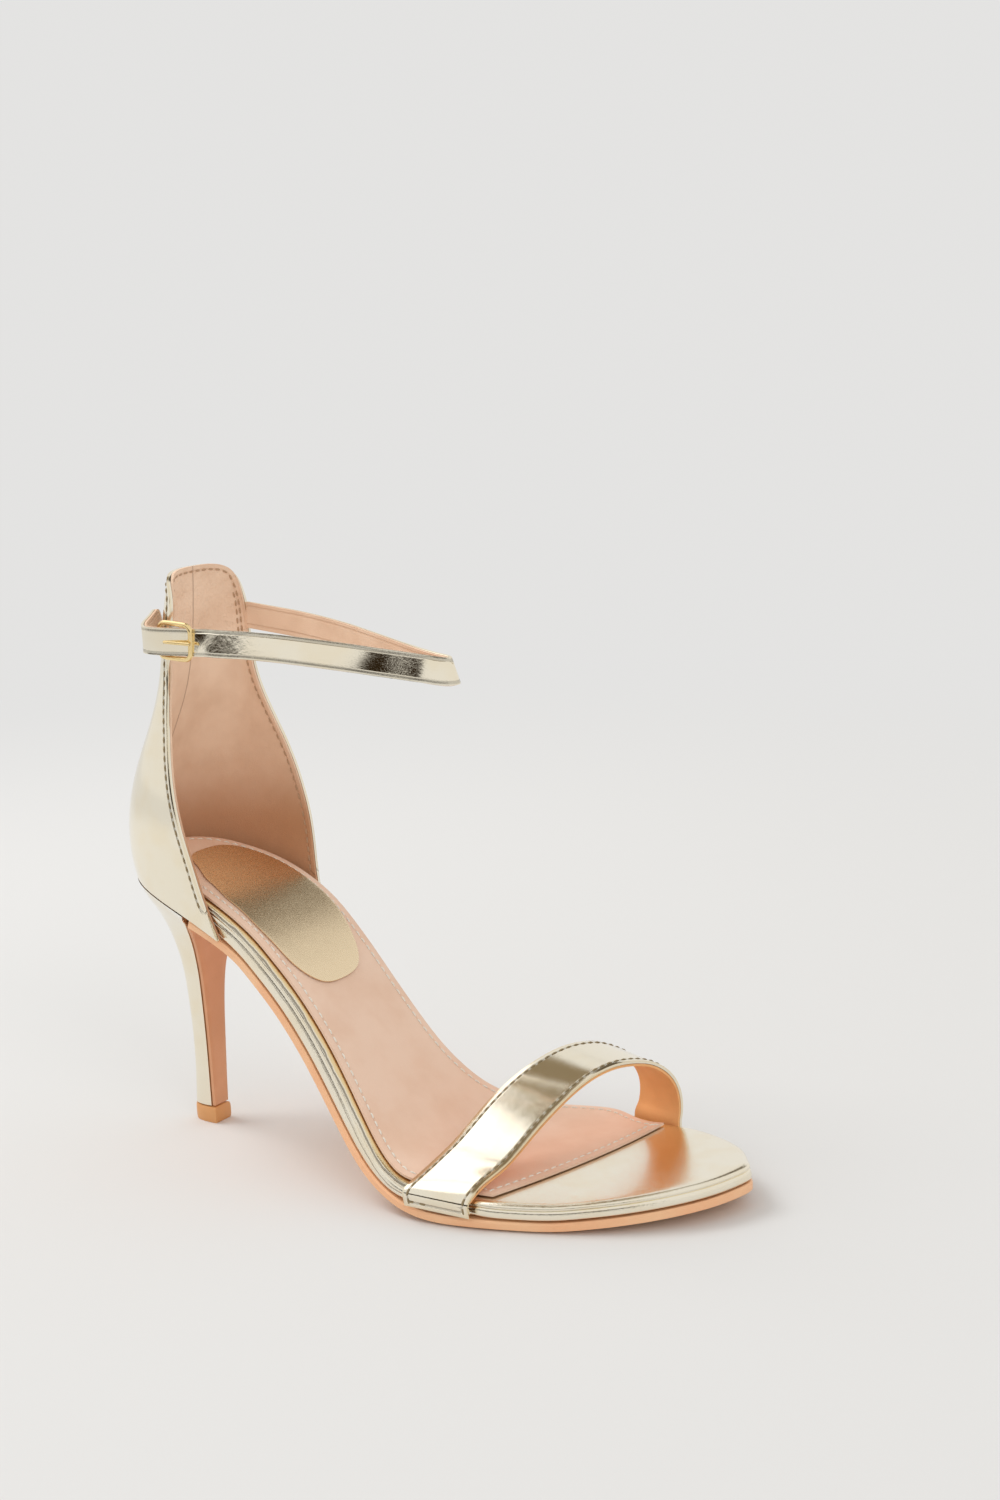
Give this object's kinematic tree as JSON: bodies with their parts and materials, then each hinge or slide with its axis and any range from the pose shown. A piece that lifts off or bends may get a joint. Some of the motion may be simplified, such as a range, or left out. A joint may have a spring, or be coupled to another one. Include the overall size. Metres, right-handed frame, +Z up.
{
  "type": "strappy heeled sandal",
  "caption": "Right-foot strappy sandal with a tall slim heel, closed heel counter, a band across the toes and a buckled ankle strap.",
  "frame": {"origin": "centre of the heel tip's underside, on the floor", "axes": "+X from the heel towards the toe along the shoe, +Y towards the shoe's inner (medial) side, +Z up"},
  "size_m": [0.2037, 0.0871, 0.177],
  "materials": {
    "gold_foil_leather": "pale champagne-gold foil leather, nearly mirror bright, fine grain",
    "sole_tan": "smooth tan leather board, satin, slightly burnished edge",
    "lining_peach": "matt nude-peach lining leather",
    "caramel_rubber": "smooth caramel moulded top piece",
    "buckle_gold": "polished yellow-gold plating",
    "elastic_cream": "cream ribbed woven elastic"
  },
  "bodies": {
    "root": {"top_piece": "caramel_rubber", "heel": "gold_foil_leather", "heel_breast_cover": "sole_tan", "outsole": "sole_tan", "insole_board": "gold_foil_leather", "sock_lining": "lining_peach", "heel_sock_patch": "gold_foil_leather", "counter": "gold_foil_leather", "vamp_strap": "gold_foil_leather", "ankle_strap": "gold_foil_leather", "buckle_tab": "elastic_cream", "buckle_frame": "buckle_gold", "buckle_prong": "buckle_gold"}
  },
  "joints": []
}
